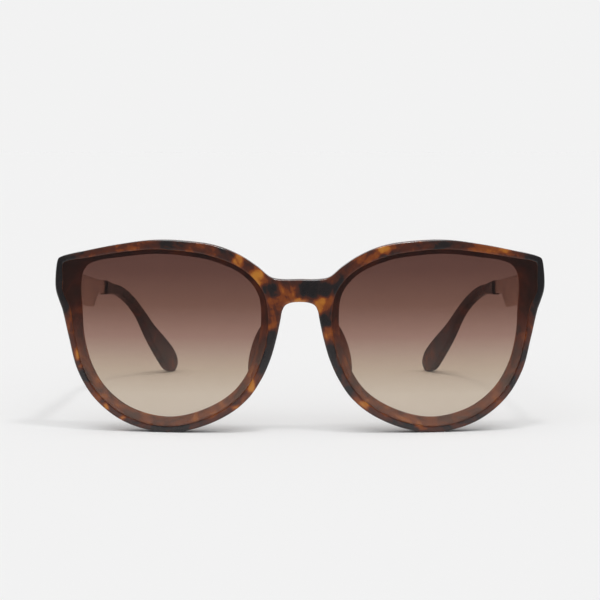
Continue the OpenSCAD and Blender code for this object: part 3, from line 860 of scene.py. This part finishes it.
PALE = 0.889               # the paper, as the share of light that it gives back
DIM = 0.20                 # the room in front, as reflections show it
floor_half = 12
paper_share, contact, contact_fall = 0.45, 0.012, 4    # the paper's own light, and where it gives way
lamp_place, lamp_size, lamp_power = (0.056, cad_low.y - 0.095, 0.46), 0.028, 1.4


def blend(tree, share, a, b):
    """Value a, which turns into b as the share goes from 0 to 1."""
    return tree.node("ShaderNodeMix", {"data_type": "FLOAT"}, {"Factor": share, 2: a, 3: b})


def seen_as(tree, plain, mirrored_as, looked_at_as=PALE):
    """One value for lit surfaces, one for reflections, and the paper's own wherever it is looked at."""
    rays = tree.node("ShaderNodeLightPath").output.node
    kinds = "Is Camera Ray", "Is Glossy Ray", "Is Transmission Ray"
    camera_ray, glossy_ray, glass_ray = (Socket(tree.tree, rays.outputs[kind]) for kind in kinds)
    value = blend(tree, glossy_ray, plain, mirrored_as)
    return blend(tree, tree.maths("MAXIMUM", camera_ray, glass_ray), value, looked_at_as)


def ramp(tree, value, start, end, low, high):
    """A value that goes softly from low to high between the start and the end of another."""
    return tree.node(
        "ShaderNodeMapRange", {"interpolation_type": "SMOOTHSTEP"},
        {"Value": value, "From Min": start, "From Max": end, "To Min": low, "To Max": high}
    )


def faded(tree, vector, start, end, front, back=PALE):
    """One value in front of the glasses that turns into another behind them."""
    return ramp(tree, tree.node("ShaderNodeSeparateXYZ", {}, {0: vector}, "Y"), start, end, front, back)


floor_mesh = bpy.data.meshes.new("floor")
floor_corners = [(x * floor_half, y * floor_half, 0) for x, y in ((-1, -1), (1, -1), (1, 1), (-1, 1))]
floor_mesh.from_pydata(floor_corners, [], [(0, 1, 2, 3)])
floor = bpy.data.objects.new("floor", floor_mesh)
scene.collection.objects.link(floor)
floor_material, tree = new_material("paper")
floor_place = tree.node("ShaderNodeTexCoord", output="Object")
grey = seen_as(tree, PALE, faded(tree, floor_place, -0.42, -0.10, DIM))
matt_paper = tree.node("ShaderNodeBsdfDiffuse", {}, {"Color": grey})
paper_light = tree.node("ShaderNodeEmission", {}, {"Color": (PALE, PALE, PALE, 1)})
clear = tree.node("ShaderNodeAmbientOcclusion", {"samples": 16}, {"Distance": contact}, "AO")
own_light = seen_as(tree, 0.0, 0.0, paper_share) * tree.maths("POWER", clear, contact_fall)
paper = tree.node("ShaderNodeMixShader", {}, {0: own_light, 1: matt_paper, 2: paper_light})
tree.node("ShaderNodeOutputMaterial", {}, {"Surface": paper})
floor_mesh.materials.append(floor_material)
floor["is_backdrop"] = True

# Reflections see the dim room with a bright softbox above it; surfaces are lit from above and ahead.
world = bpy.data.worlds.new("studio")
world.use_nodes = True
world.node_tree.nodes.clear()
scene.world = world
tree = Socket(world.node_tree)
toward = tree.node("ShaderNodeTexCoord", output="Generated")
up = tree.node("ShaderNodeSeparateXYZ", {}, {0: toward}, "Z")
softbox = ramp(tree, up, 0.95, 0.97, 0.25, 10.0)
room = blend(tree, ramp(tree, up, 0.03, 0.12, 0.0, 1.0), faded(tree, toward, -0.45, 0.25, DIM), softbox)
near_top = tree.node(
    "ShaderNodeVectorMath", {"operation": "DOT_PRODUCT"}, {0: toward, 1: (0, -0.26, 0.966)}, "Value"
)
overhead = ramp(tree, near_top, 0.80, 0.90, 0.0, 1.06)
light = seen_as(tree, faded(tree, toward, -0.5, 0.5, 0.80, 0.30) + overhead, room)
sky = tree.node("ShaderNodeBackground", {}, {"Color": (1, 1, 1, 1), "Strength": light})
tree.node("ShaderNodeOutputWorld", {}, {"Surface": sky})

# The lamp is stronger towards its sides, so that the floor under it is lit evenly.
lamp = bpy.data.objects.new("lamp", bpy.data.lights.new("lamp", "POINT"))
lamp.location = lamp_place
lamp.data.energy = lamp_power
lamp.data.shadow_soft_size = lamp_size
lamp.data.use_nodes = True
lamp.data.node_tree.nodes.clear()
tree = Socket(lamp.data.node_tree)
down = tree.node("ShaderNodeSeparateXYZ", {}, {0: tree.node("ShaderNodeTexCoord", output="Normal")}, "Z")
even = tree.maths("POWER", tree.maths("ABSOLUTE", down, 0), -3)
beam = tree.node("ShaderNodeEmission", {}, {"Strength": even})
tree.node("ShaderNodeOutputLight", {}, {"Surface": beam})
scene.collection.objects.link(lamp)

scene.view_settings.view_transform = "Standard"

low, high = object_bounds()
